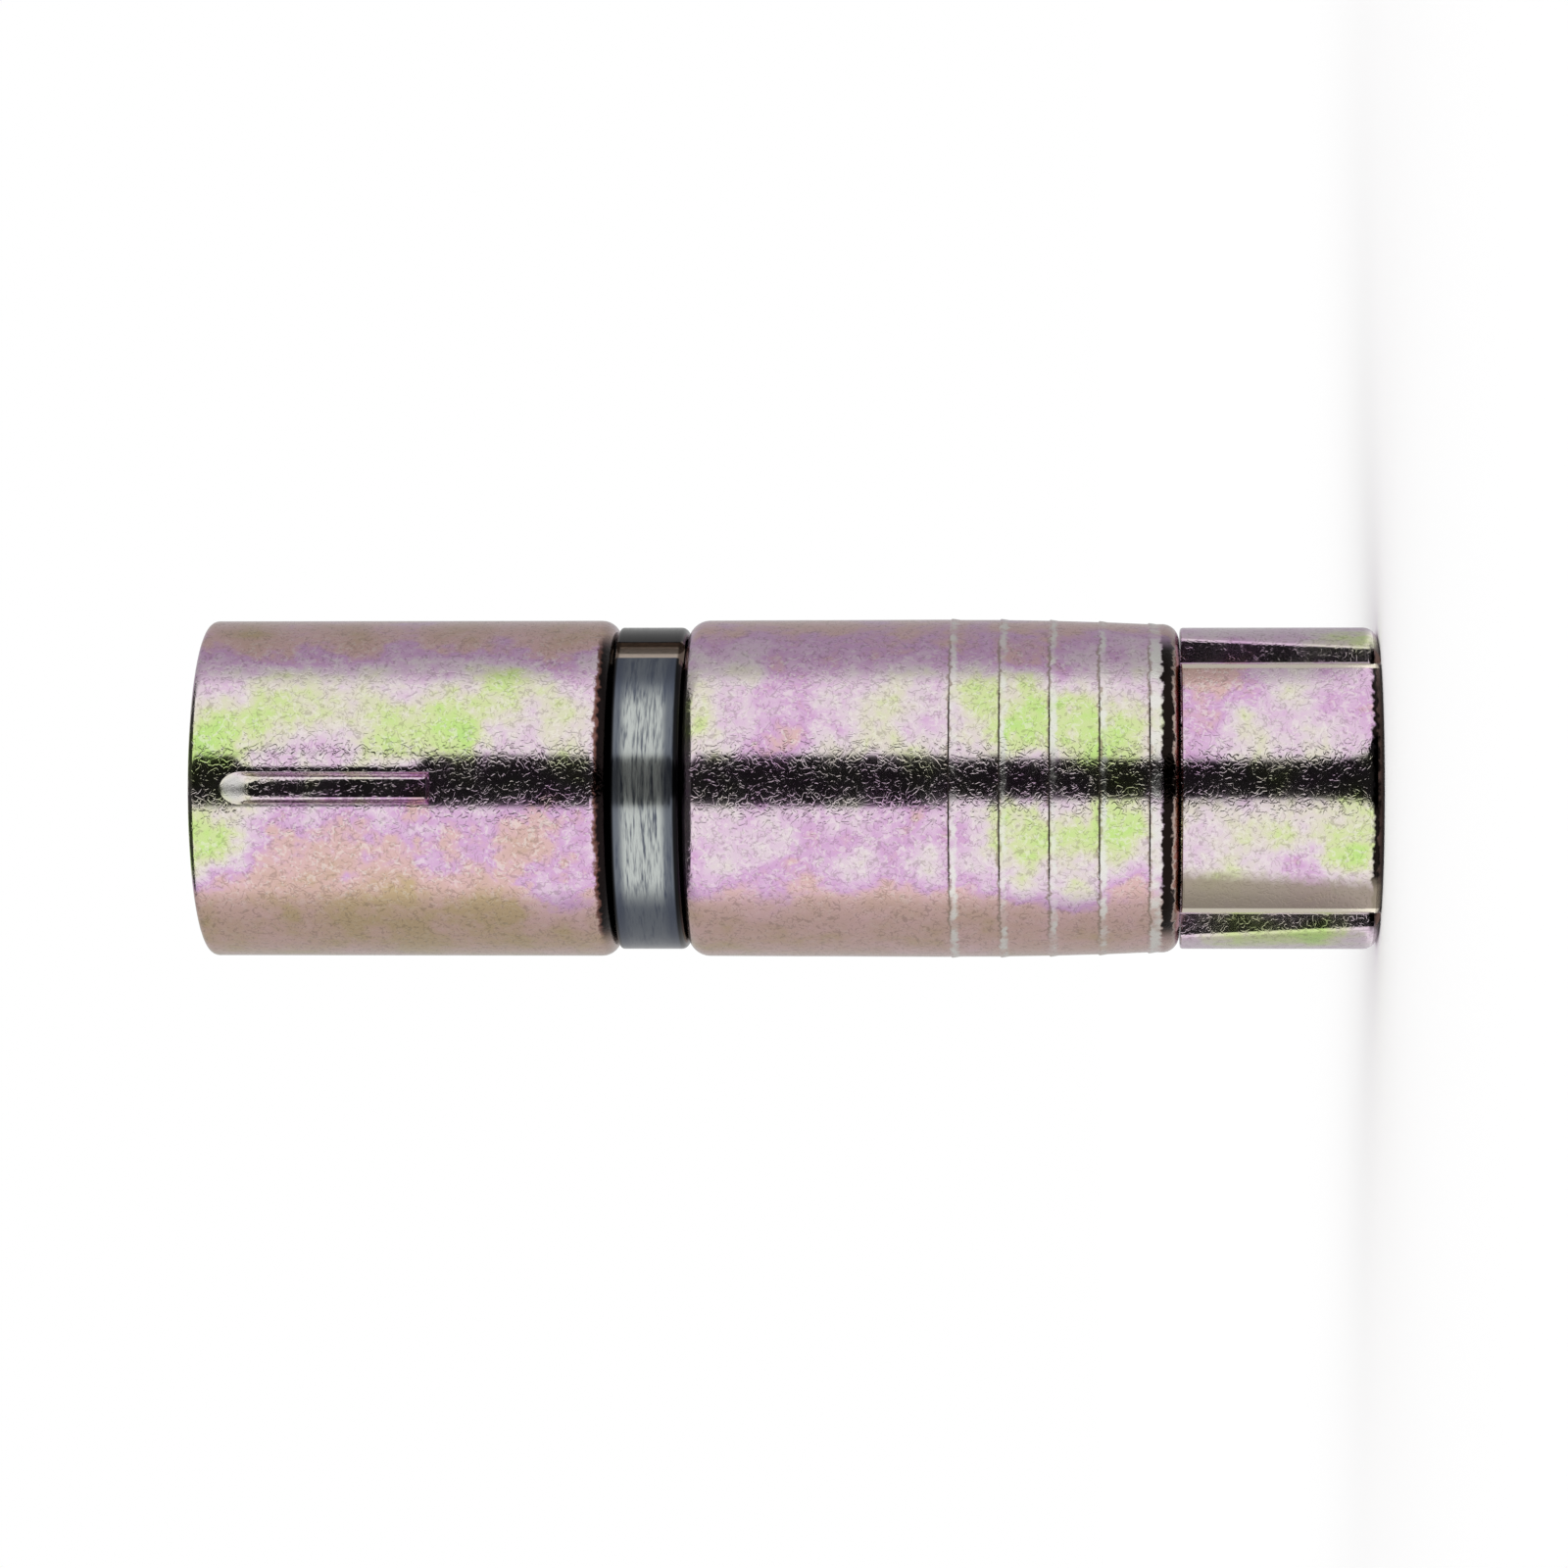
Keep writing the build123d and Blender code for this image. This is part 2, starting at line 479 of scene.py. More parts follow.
def notch_outline(half_wing, height):
    """The corner block's outline at this height, for a wing of this half thickness."""
    pad_edge = atan2(sqrt(HEAD**2 - PAD_HALF**2), PAD_HALF)
    wing_edge = atan2(half_wing, sqrt(HEAD**2 - half_wing**2))
    pad_y = HEAD * sin(pad_edge)
    wing_x = HEAD * cos(wing_edge)
    pad_meet = pad_edge + PAD_FLARE / HEAD
    wing_meet = wing_edge - WING_FLARE / HEAD
    points = [
        (PAD_HALF + 0.08, half_wing),
        (PAD_HALF, half_wing + 0.08),
        (PAD_HALF, pad_y - 0.26),
        (PAD_HALF - 0.03, pad_y - 0.10),
        (PAD_HALF - 0.10, pad_y + 0.03),
        on_circle(HEAD, pad_meet),
        on_circle(BLOCK_REACH, pad_meet + 0.05),
        (6.6, 6.8),
        (8.9, 3.4),
        on_circle(BLOCK_REACH, wing_meet - 0.06),
        on_circle(HEAD, wing_meet),
        (wing_x + 0.03, half_wing - 0.12),
        (wing_x - 0.02, half_wing - 0.06),
        (wing_x - 0.08, half_wing - 0.02),
        (wing_x - 0.18, half_wing),
    ]
    return [(x, y, height) for x, y in points]


# %% [markdown]
# The wing is thinner at the shell's end, so the block's upper outline differs from its lower one: the block is
# extruded straight up, and its upper corners are then moved to their own outline. A Mirror modifier makes the
# other three blocks, and one cut makes all the notches.

# %% Cut the corner notches
BLOCK_FOOT = -0.5
BLOCK_TOP = HEAD_TOP + 0.03

low = notch_outline(WING_HALF + (HEAD_TOP - BLOCK_FOOT) * tan(WING_TAPER), BLOCK_FOOT)
high = notch_outline(WING_HALF, BLOCK_TOP)
notch_tool = walk("notch_tool", low)
bpy.ops.mesh.edge_face_add()
extrude((0, 0, (BLOCK_TOP - BLOCK_FOOT) * MM))
shape = bmesh.from_edit_mesh(notch_tool.data)
for vertex in shape.verts:
    if vertex.select:
        x, y = vertex.co.x / MM, vertex.co.y / MM
        nearest = min(range(len(low)), key=lambda i: hypot(low[i][0] - x, low[i][1] - y))
        vertex.co = Vector(high[nearest]) * MM
bmesh.update_edit_mesh(notch_tool.data)
bpy.ops.object.mode_set(mode="OBJECT")
corners = notch_tool.modifiers.new("corners", "MIRROR")
corners.use_axis = (True, True, False)
use(notch_tool)
bpy.ops.object.modifier_apply(modifier="corners")
bpy.ops.object.mode_set(mode="EDIT")
close_up()
cut(nut, notch_tool)
finish_faces(nut)

# %% [markdown]
# ## Finishes
#
# The steel is zinc plated and dipped in a chromate bath. The film that forms is thinner than a wavelength of
# light, so where its thickness drifts the colour goes from pink and lilac through cream to yellow-green.
#
# The finishes are graphs of nodes. The first helpers add a node and link or set its inputs, and give short names
# to the arithmetic that is needed most.

# %% Add nodes
def linear(red, green, blue):
    """A colour as the eye reads it, 0 to 255, as the linear numbers that a shader needs."""
    steps = [c / 255 for c in (red, green, blue)]
    return [*(s / 12.92 if s <= 0.04045 else ((s + 0.055) / 1.055) ** 2.4 for s in steps), 1]


def set_input(tree, socket, value):
    """Link the socket to another one, or set it to a constant."""
    if isinstance(value, bpy.types.NodeSocket):
        tree.links.new(value, socket)
    else:
        socket.default_value = value


def add(tree, kind, settings=None, **inputs):
    """Add a node with its settings. Inputs go by name, or by number as i0, i1 and so on."""
    node = tree.nodes.new(kind)
    for name, value in (settings or {}).items():
        setattr(node, name, value)
    for name, value in inputs.items():
        numbered = name[0] == "i" and name[1:].isdigit()
        set_input(tree, node.inputs[int(name[1:]) if numbered else name.replace("_", " ")], value)
    return node


def math_node(tree, operation, a, b=0.0, c=0.0, clamp=False):
    settings = {"operation": operation, "use_clamp": clamp}
    return add(tree, "ShaderNodeMath", settings, i0=a, i1=b, i2=c).outputs[0]


# %% [markdown]
# Multiply-add is one node where a multiply and an add would be two. Distances from the middle need the absolute
# value, because the pieces are alike to the left and right.

# %% Arithmetic on values and vectors
def times(tree, a, b):
    return math_node(tree, "MULTIPLY", a, b)


def plus(tree, a, b):
    return math_node(tree, "ADD", a, b)


def minus(tree, a, b, clamp=False):
    return math_node(tree, "SUBTRACT", a, b, clamp=clamp)


def size_of(tree, value):
    return math_node(tree, "ABSOLUTE", value)


def vector_node(tree, operation, a, **inputs):
    """A sum, difference, scaling or distance of vectors."""
    node = add(tree, "ShaderNodeVectorMath", {"operation": operation}, i0=a, **inputs)
    return node.outputs["Value" if operation == "DISTANCE" else "Vector"]


def split(tree, vector):
    """The three parts of a vector."""
    return add(tree, "ShaderNodeSeparateXYZ", Vector=vector).outputs


# %% [markdown]
# A mask is a value between 0 and 1 that says where something shows. Most masks here are a value remapped with
# soft ends, or a noise remapped in the same way.

# %% Masks, mixes and noises
def remap(tree, value, low, high, to_low=0.0, to_high=1.0):
    """Stretch the range low..high of a value to to_low..to_high, and hold it there."""
    settings = {"interpolation_type": "SMOOTHSTEP"}
    return add(tree, "ShaderNodeMapRange", settings, i0=value, i1=low, i2=high, i3=to_low, i4=to_high).outputs[0]


def mix_colour(tree, share, a, b):
    """Colour a with this share of colour b over it."""
    return add(tree, "ShaderNodeMix", {"data_type": "RGBA"}, i0=share, i6=a, i7=b).outputs[2]


def noise(tree, vector, size, detail=2.0, roughness=0.5, distortion=0.0, output="Fac"):
    """A soft noise whose blobs are about this many millimetres wide."""
    node = add(
        tree, "ShaderNodeTexNoise", Vector=vector, Scale=1000 / size, Detail=detail, Roughness=roughness,
        Distortion=distortion,
    )
    return node.outputs[output]


def colour_ramp(tree, value, stops):
    """A colour ramp over these stops (place, colour)."""
    ramp = add(tree, "ShaderNodeValToRGB", i0=value)
    elements = ramp.color_ramp.elements
    while len(elements) < len(stops):
        elements.new(0.5)
    for stop, (place, colour) in zip(elements, stops):
        stop.position = place
        stop.color = colour
    return ramp.outputs["Color"]


# %% [markdown]
# The three plated pieces share their film and their grain, so these are node groups with a few inputs each. A
# group is built once, and a change to it shows on all the pieces.

# %% Open a node group
def new_group(name, inputs, outputs):
    """An empty node group with named sockets. Returns the tree, its inputs and its output node's sockets."""
    tree = bpy.data.node_groups.new(name, "ShaderNodeTree")
    for title, kind, value in inputs:
        socket = tree.interface.new_socket(title, in_out="INPUT", socket_type="NodeSocket" + kind)
        if value is not None:
            socket.default_value = value
    for title, kind in outputs:
        tree.interface.new_socket(title, in_out="OUTPUT", socket_type="NodeSocket" + kind)
    start = tree.nodes.new("NodeGroupInput")
    end = tree.nodes.new("NodeGroupOutput")
    return tree, start.outputs, end.inputs


def use_group(tree, group, **inputs):
    return add(tree, "ShaderNodeGroup", {"node_tree": group}, **inputs).outputs[0]


# %% [markdown]
# The film's thickness drifts in broad clouds, in smaller blobs and in a fine mottle. Three noises stand for that
# drift, each less its own middle, and a colour ramp turns the thickness into the film's colours. The Thin Film
# input of the shader would follow the angle of view too, but its colours can't be steered to the photograph's.

# %% Film colours as a group
DRIFTS = [
    # blob size in mm, strength, distortion
    (8.0, 0.45, 0.4),
    (2.2, 0.7, 0.3),
    (0.5, 0.22, 0.0),
]
FILM_COLOURS = [
    (0.00, (198, 174, 140)),
    (0.10, (210, 178, 166)),
    (0.22, (220, 184, 184)),
    (0.32, (212, 170, 210)),
    (0.40, (222, 192, 218)),
    (0.50, (226, 210, 218)),
    (0.61, (224, 218, 200)),
    (0.71, (214, 224, 168)),
    (0.84, (198, 228, 140)),
    (1.00, (180, 222, 132)),
]

film, given, result = new_group(
    "chromate_film",
    [("Place", "Vector", None), ("Thickness", "Float", 0.5), ("Drift", "Float", 1.0)],
    [("Colour", "Color")],
)
drift = -sum(strength for size, strength, distortion in DRIFTS) / 2
for size, strength, distortion in DRIFTS:
    blobs = noise(film, given["Place"], size, distortion=distortion)
    drift = math_node(film, "MULTIPLY_ADD", blobs, strength, drift)
thick = math_node(film, "MULTIPLY_ADD", drift, given["Drift"], given["Thickness"])
stops = [(place, linear(*colour)) for place, colour in FILM_COLOURS]
film.links.new(colour_ramp(film, thick, stops), result["Colour"])
print("film colours:", len(stops), "stops")

# %% [markdown]
# The plating has crackled into short crossing lines. A noise's middle value runs along winding lines, and a
# second, finer noise breaks them up. Two sets at different sizes cross each other, and the lower of the two is
# the height. A Voronoi's cell edges would give closed cells, which the photograph doesn't show.

# %% Crackled grain as a group
LINE_SETS = [0.50, 0.42]
LINE_WIDTH = 0.055
GAP_SIZE = 0.31

crackle, given, result = new_group("crackled_grain", [("Place", "Vector", None)], [("Height", "Float")])
warp = noise(crackle, given["Place"], 1 / 2.6, 1.0, output="Color")
push = vector_node(crackle, "SCALE", warp, Scale=0.0002)
bent = vector_node(crackle, "ADD", given["Place"], i1=push)
shifted = vector_node(crackle, "ADD", given["Place"], i1=(0.03, 0.02, 0.01))
deepest = 1.0
for start, size in zip((bent, shifted), LINE_SETS):
    winding = minus(crackle, noise(crackle, start, size, 1.0, 0.6, 0.6), 0.5)
    line = remap(crackle, size_of(crackle, winding), 0.0, LINE_WIDTH)
    gaps = remap(crackle, noise(crackle, start, GAP_SIZE, 0.0), 0.46, 0.56, 0.0, 0.85)
    broken = math_node(crackle, "MAXIMUM", line, gaps)
    deepest = math_node(crackle, "MINIMUM", broken, deepest)
crackle.links.new(deepest, result["Height"])

# %% [markdown]
# In places the bath has stood a little longer and left a pool of one colour. A pool adds to the thickness, or
# takes from it, round a point on the piece, and fades out with the distance.

# %% Pools in the film as a group
pool, given, result = new_group(
    "pool_in_film",
    [("Place", "Vector", None), ("Middle", "Vector", None), ("Size", "Float", 0.002), ("Amount", "Float", 0.1)],
    [("Thickness", "Float")],
)
away = vector_node(pool, "DISTANCE", given["Place"], i1=given["Middle"])
near = remap(pool, away, 0.0, given["Size"], 1.0, 0.0)
pool.links.new(times(pool, near, given["Amount"]), result["Thickness"])

# %% [markdown]
# ## The plated steel
#
# The patterns belong to the metal. When the shell shortens, its points move, but the barbs' marks have to move
# with the barbs. So the materials read each point's place at rest from an attribute, which the pieces get below.

# %% Places on a piece
def rest_place(tree):
    """Where the point stood before its piece shortened, in metres."""
    return add(tree, "ShaderNodeAttribute", {"attribute_name": "rest_place"}).outputs["Vector"]


def band(tree, value, low, high, soft=0.08):
    """A mask that is 1 where the value is between two lengths in mm."""
    rise = remap(tree, value, (low - soft) * MM, (low + soft) * MM)
    fall = remap(tree, value, (high - soft) * MM, (high + soft) * MM, 1.0, 0.0)
    return times(tree, rise, fall)


# %% [markdown]
# Towards the two sides of the front a lower thickness gives the film a painted tan and pink, a little more towards
# -X: it stands in for the colour that the film shows at a grazing view from the camera. The pools are given by
# angle, height, size and thickness, and a coarse noise bends their edges, so that none is a round spot.

# %% Thickness of the film
SIDE_MIDDLE = 0.12
SIDE_FROM, SIDE_FULL = 0.5, 0.92
WANDER = 0.0035


def film_thickness(tree, place, radius, base, grazing_tint, pools):
    """The film's thickness over a piece, with a painted grazing-view tint at its two sides, and the mask of those
    sides.
    """
    x = split(tree, place)[0]
    across = minus(tree, math_node(tree, "DIVIDE", x, radius * MM), SIDE_MIDDLE)
    side = remap(tree, size_of(tree, across), SIDE_FROM, SIDE_FULL)
    # The painted grazing tint is weaker towards +X.
    upper = remap(tree, x, -0.5 * radius * MM, 0.5 * radius * MM, 1.0, 0.72)
    thickness = math_node(tree, "MULTIPLY_ADD", times(tree, side, upper), -grazing_tint, base)
    coarse = noise(tree, place, 1 / 0.7, 3.0, 0.6, output="Color")
    centred = vector_node(tree, "SUBTRACT", coarse, i1=(0.5, 0.5, 0.5))
    wandering = vector_node(tree, "ADD", place, i1=vector_node(tree, "SCALE", centred, Scale=WANDER))
    for angle, height, size, goal in pools:
        a = radians(angle)
        middle = Vector((radius * sin(a), -radius * cos(a), height)) * MM
        one = use_group(tree, pool, Place=wandering, Middle=middle, Size=size * 1.5 * MM, Amount=goal - base)
        thickness = plus(tree, thickness, one)
    return thickness, side


# %% [markdown]
# A plating starts as a dictionary of what its shader will get: colour, roughness and height. The film gives the
# colour, the pits of the grain get a painted shade, and fine crests a painted glint. Each later step adds one
# mark to the dictionary, and the last one links it to the shader.

# %% Start a plating
# Painted shade for the grain's pits, and painted glints for fine crests.
PIT_SHADE_COLOUR = (104, 90, 80)
PAINTED_GLINT_COLOUR = (244, 240, 232)
JAG = 0.0005


def start_plating(name, radius, base, offset, pools, grazing_tint):
    """Zinc plate under a chromate film."""
    material = bpy.data.materials.new(name)
    material.use_nodes = True
    tree = material.node_tree
    place = rest_place(tree)
    moved = add(tree, "ShaderNodeMapping", Vector=place, Location=offset).outputs[0]
    thickness, side = film_thickness(tree, place, radius, base, grazing_tint, pools)
    drift = remap(tree, side, 0.0, 1.0, 1.0, 0.55)
    colour = use_group(tree, film, Place=moved, Thickness=thickness, Drift=drift)
    grain = use_group(tree, crackle, Place=place)
    # Painted shade in the grain's pits.
    colour = mix_colour(tree, remap(tree, grain, 0.0, 0.8, 0.32, 0.0), colour, linear(*PIT_SHADE_COLOUR))
    # Painted glints on fine crests, fewer towards the sides.
    glints = remap(tree, noise(tree, moved, 0.30, 1.0, 0.5, 1.2), 0.55, 0.64, 0.0, 0.35)
    glints = times(tree, glints, remap(tree, side, 0.0, 1.0, 1.0, 0.2))
    return {
        "material": material,
        "tree": tree,
        "radius": radius,
        "place": place,
        "parts": split(tree, place),
        "jag": times(tree, minus(tree, noise(tree, place, 0.35), 0.5), JAG),
        "colour": mix_colour(tree, glints, colour, linear(*PAINTED_GLINT_COLOUR)),
        "roughness": remap(tree, noise(tree, moved, 1.6), 0.3, 0.7, 0.08, 0.13),
        "height": grain,
    }


def mark(plating, mask, colour, roughness=0.0):
    """Put a colour over the plating where the mask is, and make it rougher there."""
    tree = plating["tree"]
    plating["colour"] = mix_colour(tree, mask, plating["colour"], linear(*colour))
    if roughness:
        plating["roughness"] = plus(tree, plating["roughness"], times(tree, mask, roughness))


# %% [markdown]
# The rolled rims get a painted shade, nearly black, with a jagged border, and some bands are brown or a lighter
# painted highlight. That is done as colour by height, with the height jogged by a noise, and only on the front,
# as the sides of the rims are pale.

# %% Painted light and shade on the rims
def paint_light_and_shade_bands(plating, painted_bands):
    """Bands of painted light and shade (low, high, colour) round the front, with jagged borders."""
    tree, parts, radius = plating["tree"], plating["parts"], plating["radius"]
    front = remap(tree, size_of(tree, parts[0]), 0.80 * radius * MM, 0.93 * radius * MM, 1.0, 0.12)
    jagged = plus(tree, parts[2], plating["jag"])
    for low, high, colour in painted_bands:
        mark(plating, times(tree, band(tree, jagged, low, high), front), colour)


# %% [markdown]
# The lands of the barbs get a painted highlight in patches, pale grey, and are a little rougher there.

# %% Painted highlights on the lands
LAND_HIGHLIGHT_COLOUR = (232, 232, 226)


def paint_land_highlights(plating, lands):
    """Patches of painted highlight between two heights in mm."""
    tree = plating["tree"]
    jagged = plus(tree, plating["parts"][2], plating["jag"])
    patchy = remap(tree, noise(tree, plating["place"], 0.9), 0.38, 0.62, 0.2, 0.85)
    for low, high in lands:
        mark(plating, times(tree, band(tree, jagged, low, high, 0.09), patchy), LAND_HIGHLIGHT_COLOUR, 0.12)


# %% [markdown]
# The nut's front pad has a painted highlight, a cream line, along each long edge, and a duller tan colour along
# its lower edge. The floors of the notches are a little rougher than the pad, because no tool has polished them.

# %% Marks beside the notches
PAD_Y = (-4.75, -4.55)


def mark_notches(plating):
    """Painted highlight lines and a tan band at the pad's long edges, and rougher floors in the notches."""
    tree = plating["tree"]
    x, y, z = plating["parts"]
    across = size_of(tree, x)
    pad = remap(tree, y, PAD_Y[0] * MM, PAD_Y[1] * MM, 1.0, 0.0)
    edge = math_node(tree, "MULTIPLY_ADD", minus(tree, HEAD_TOP * MM, z), 0.05, x)
    lower_edge_tan = remap(tree, plus(tree, edge, plating["jag"]), -4.3 * MM, -3.5 * MM, 0.9, 0.0)
    mark(plating, times(tree, lower_edge_tan, pad), (152, 140, 124))
    # Painted highlight along the pad's long edges.
    edge_highlights = band(tree, across, PAD_HALF - 0.22, PAD_HALF + 0.02, 0.03)
    mark(plating, times(tree, times(tree, edge_highlights, pad), 0.85), (255, 246, 226))
    floors = times(tree, band(tree, across, PAD_HALF + 0.05, PAD_HALF + 1.3, 0.1), band(tree, y, -4.4, -2.7, 0.1))
    plating["roughness"] = plus(tree, plating["roughness"], times(tree, floors, 0.06))


# %% [markdown]
# A pale spot at the groove's mouth end is a painted highlight, and is rougher as well. The press has raised the
# metal beside the groove by a few hundredths of a millimetre. That swell is too shallow to model, but it bends the
# reflections, so it is added to the height that drives the bump.

# %% Painted highlight at the groove, and the press's swell
def paint_spot_highlight(plating, spot, size):
    """A painted highlight spot of this size round a point in mm, rougher as well."""
    tree = plating["tree"]
    away = vector_node(tree, "DISTANCE", plating["place"], i1=Vector(spot) * MM)
    mark(plating, remap(tree, away, size * 0.5 * MM, size * MM, 0.7, 0.0), (214, 216, 212), 0.4)


def swell_lips(plating, half, foot, top):
    """Raise the metal beside a groove of this half width between two heights in mm."""
    tree, parts = plating["tree"], plating["parts"]
    raised = remap(tree, size_of(tree, parts[0]), half * MM, (half + 0.75) * MM, 1.0, 0.0)
    raised = times(tree, raised, band(tree, parts[2], foot, top, 0.6))
    plating["height"] = math_node(tree, "MULTIPLY_ADD", raised, 11.0, plating["height"])


# %% [markdown]
# The finished plating goes to the shader. It is all metal: the film tints the reflection and has no colour of
# its own. The crackled height only ruffles the reflections, so it is a bump and not geometry.

# %% Finish a plating
def finish_plating(plating):
    """Link the plating to its shader and return the material."""
    tree = plating["tree"]
    shader = tree.nodes["Principled BSDF"]
    tree.links.new(plating["colour"], shader.inputs["Base Color"])
    tree.links.new(plating["roughness"], shader.inputs["Roughness"])
    bump = add(tree, "ShaderNodeBump", Strength=0.24, Distance=0.00002, Height=plating["height"])
    tree.links.new(bump.outputs[0], shader.inputs["Normal"])
    shader.inputs["Metallic"].default_value = 1.0
    print(plating["material"].name, "nodes:", len(tree.nodes))
    return plating["material"]


# %% [markdown]
# The sleeve's film is yellow-green above the groove, pink and cream below it, and tan at the sides, where the tan
# is a painted grazing-view colour, as is the row of violet pools at 60 degrees. Its foot has the widest painted
# shade of a rim, brown at the border and black inside.

# %% Film on the distance sleeve
plating = start_plating("film_on_distance_sleeve", OUTER, 0.51, (0, 0, 0), [
    (14, 54.2, 2.0, 0.80), (28, 50.2, 2.6, 0.66), (20, 42.9, 2.0, 0.76), (35, 39.7, 2.0, 0.68),
    (13, 51.7, 1.4, 0.36), (15, 39.5, 2.4, 0.40), (-17, 55.1, 2.4, 0.84), (-19, 38.7, 2.4, 0.20),
    (-40, 37.8, 1.8, 0.66), (-32, 46.5, 3.2, 0.20), (-26, 51.0, 2.6, 0.25), (-34, 41.5, 2.4, 0.24),
    (-13, 48.8, 2.0, 0.32), (-14, 44.4, 2.0, 0.30), (25, 52.0, 2.2, 0.62), (24, 46.6, 2.4, 0.66),
    (11, 46.0, 1.8, 0.62), (60, 52.5, 2.6, 0.34), (60, 47.5, 2.6, 0.34), (60, 42.5, 2.6, 0.34),
    (60, 37.5, 2.6, 0.34), (150, 48.0, 5.0, 0.70), (215, 42.0, 4.0, 0.74), (180, 52.0, 4.0, 0.38),
], grazing_tint=0.45)
# Painted shade on the foot's rim: brown at the border, black inside.
paint_light_and_shade_bands(plating, [(34.0, 36.18, (120, 84, 76)), (34.0, 36.04, (30, 24, 24))])
paint_spot_highlight(plating, (0, -7.75, 52.75), 0.75)
swell_lips(plating, 0.84, 44.2, 52.4)
sleeve_film = finish_plating(plating)

# %% [markdown]
# The shell's film is lilac and pink, with green pools on the barbs. Each barb has a fine painted shadow line under
# its step and a painted highlight on the land beside it, and the end at the nut has a painted dark rim, with a thin
# painted highlight in it and a brown painted shade round the lip.

# %% Film on the shell
plating = start_plating("film_on_shell", OUTER, 0.46, (0.011, 0, 0.003), [
    (20, 31.3, 1.8, 0.70), (21, 28.5, 2.6, 0.34), (27, 25.1, 1.6, 0.40), (20, 23.0, 3.2, 0.60),
    (35, 19.5, 1.8, 0.70), (23, 17.1, 2.2, 0.80), (21, 14.8, 2.0, 0.72), (17, 11.9, 2.0, 0.76),
    (-14, 12.1, 2.2, 0.80), (-16, 15.0, 1.8, 0.70), (-14, 17.1, 1.5, 0.72), (-37, 14.1, 1.2, 0.74),
    (-34, 16.6, 1.2, 0.70), (-35, 25.1, 3.0, 0.38), (-19, 22.0, 2.0, 0.40), (-28, 29.0, 2.4, 0.52),
    (160, 20.0, 4.0, 0.70), (205, 14.0, 4.0, 0.76), (175, 28.0, 4.0, 0.38),
], grazing_tint=0.34)
# A painted shadow line under each barb's step.
paint_light_and_shade_bands(plating, [(line - 0.01, line + 0.08, (150, 132, 116)) for line in BARB_LINES])
# Painted shade at the rim by the nut, a thin painted highlight at 9.5 mm, and brown painted shade round the lip.
paint_light_and_shade_bands(plating, [(8.0, 10.12, (30, 24, 22)), (9.50, 9.60, (190, 170, 160)), (8.0, 9.50, (150, 106, 92))])
paint_land_highlights(plating, [(line - 0.30, line - 0.02) for line in BARB_LINES[1:]])
paint_land_highlights(plating, [(BARB_LINES[0] - 0.50, BARB_LINES[0] - 0.02)])
shell_film = finish_plating(plating)

# %% [markdown]
# The nut's film is lilac on the pad, with an orange corner beside the shell and green pools towards the free
# end and in the lower notch.

# %% Film on the nut
plating = start_plating("film_on_nut", HEAD, 0.47, (0, 0.02, 0), [
    (44, 8.0, 3.0, 0.14), (40, 1.7, 2.6, 0.38), (14, 8.6, 1.6, 0.38), (24, 5.7, 2.6, 0.55),
    (-11, 1.2, 2.0, 0.72), (-17, 3.6, 1.2, 0.66), (-27, 1.4, 1.3, 0.70), (-32, 3.3, 1.8, 0.34),
    (-40, 7.1, 2.2, 0.56), (66, 1.6, 1.5, 0.70), (-67, 3.0, 1.9, 0.86), (-67, 6.4, 1.9, 0.80),
    (160, 4.0, 3.0, 0.70), (200, 7.0, 3.0, 0.38),
], grazing_tint=0.05)
# Painted shade at the free end's rim: a black band and a brown strip.
paint_light_and_shade_bands(plating, [(-1.0, 0.50, (28, 22, 20)), (-1.0, 0.24, (100, 80, 74))])
mark_notches(plating)
nut_film = finish_plating(plating)

# %% [markdown]
# ## The dark moulding
#
# The ring is moulded in a dark, glossy blue-grey. It has been turned against its neighbours, which has drawn
# long fine streaks round the middle of its face. Their pale colour is a painted highlight, strongest on the front's
# middle, and the face's edges get a painted shade, nearly black. Noises squeezed along the height give the
# streaks, and masks by place say where they show.

# %% Streaks round the ring's face
dark = bpy.data.materials.new("dark_moulding")
dark.use_nodes = True
tree = dark.node_tree
place = rest_place(tree)
x, y, z = split(tree, place)
drawn = add(tree, "ShaderNodeMapping", Vector=place, Scale=(0.10, 0.10, 1.0)).outputs[0]
streaks = times(tree, noise(tree, drawn, 0.10, 2.0, 0.6), 0.6)
streaks = math_node(tree, "MULTIPLY_ADD", noise(tree, drawn, 0.34), 0.4, streaks)
face = band(tree, z, RING_FOOT + 0.75, RING_TOP - 0.55, 0.3)
streak_highlight = times(tree, remap(tree, streaks, 0.32, 0.56), remap(tree, face, 0.0, 1.0, 0.15, 1.0))
# The streaks' painted highlight fades towards the ring's sides.
side = remap(tree, size_of(tree, plus(tree, x, 0.3 * MM)), 3.8 * MM, 5.4 * MM, 1.0, 0.15)
shade = mix_colour(tree, times(tree, streak_highlight, side), linear(76, 82, 96), linear(186, 191, 188))
# Painted shade, nearly black, at the face's edges.
edges = band(tree, z, RING_FOOT + 0.30, RING_TOP - 0.16, 0.06)
shade = mix_colour(tree, edges, linear(14, 14, 17), shade)

# %% [markdown]
# At the gate's recess light and shade are painted: a pale painted highlight on its floor, a brown painted shade
# over the sunk part, and past it a painted shade that makes the rim almost black. The recess is found by its angle
# round the ring and by the distance from the axis.

# %% Painted light and shade at the recess
angle = math_node(tree, "ARCTAN2", x, times(tree, y, -1.0))
from_axis = math_node(tree, "SQRT", plus(tree, times(tree, x, x), times(tree, y, y)))


def turned_band(low, high, soft=0.8):
    """A mask round the ring between two angles in degrees, counted from the front towards +X."""
    rise = remap(tree, angle, radians(low - soft), radians(low + soft))
    return times(tree, rise, remap(tree, angle, radians(high - soft), radians(high + soft), 1.0, 0.0))


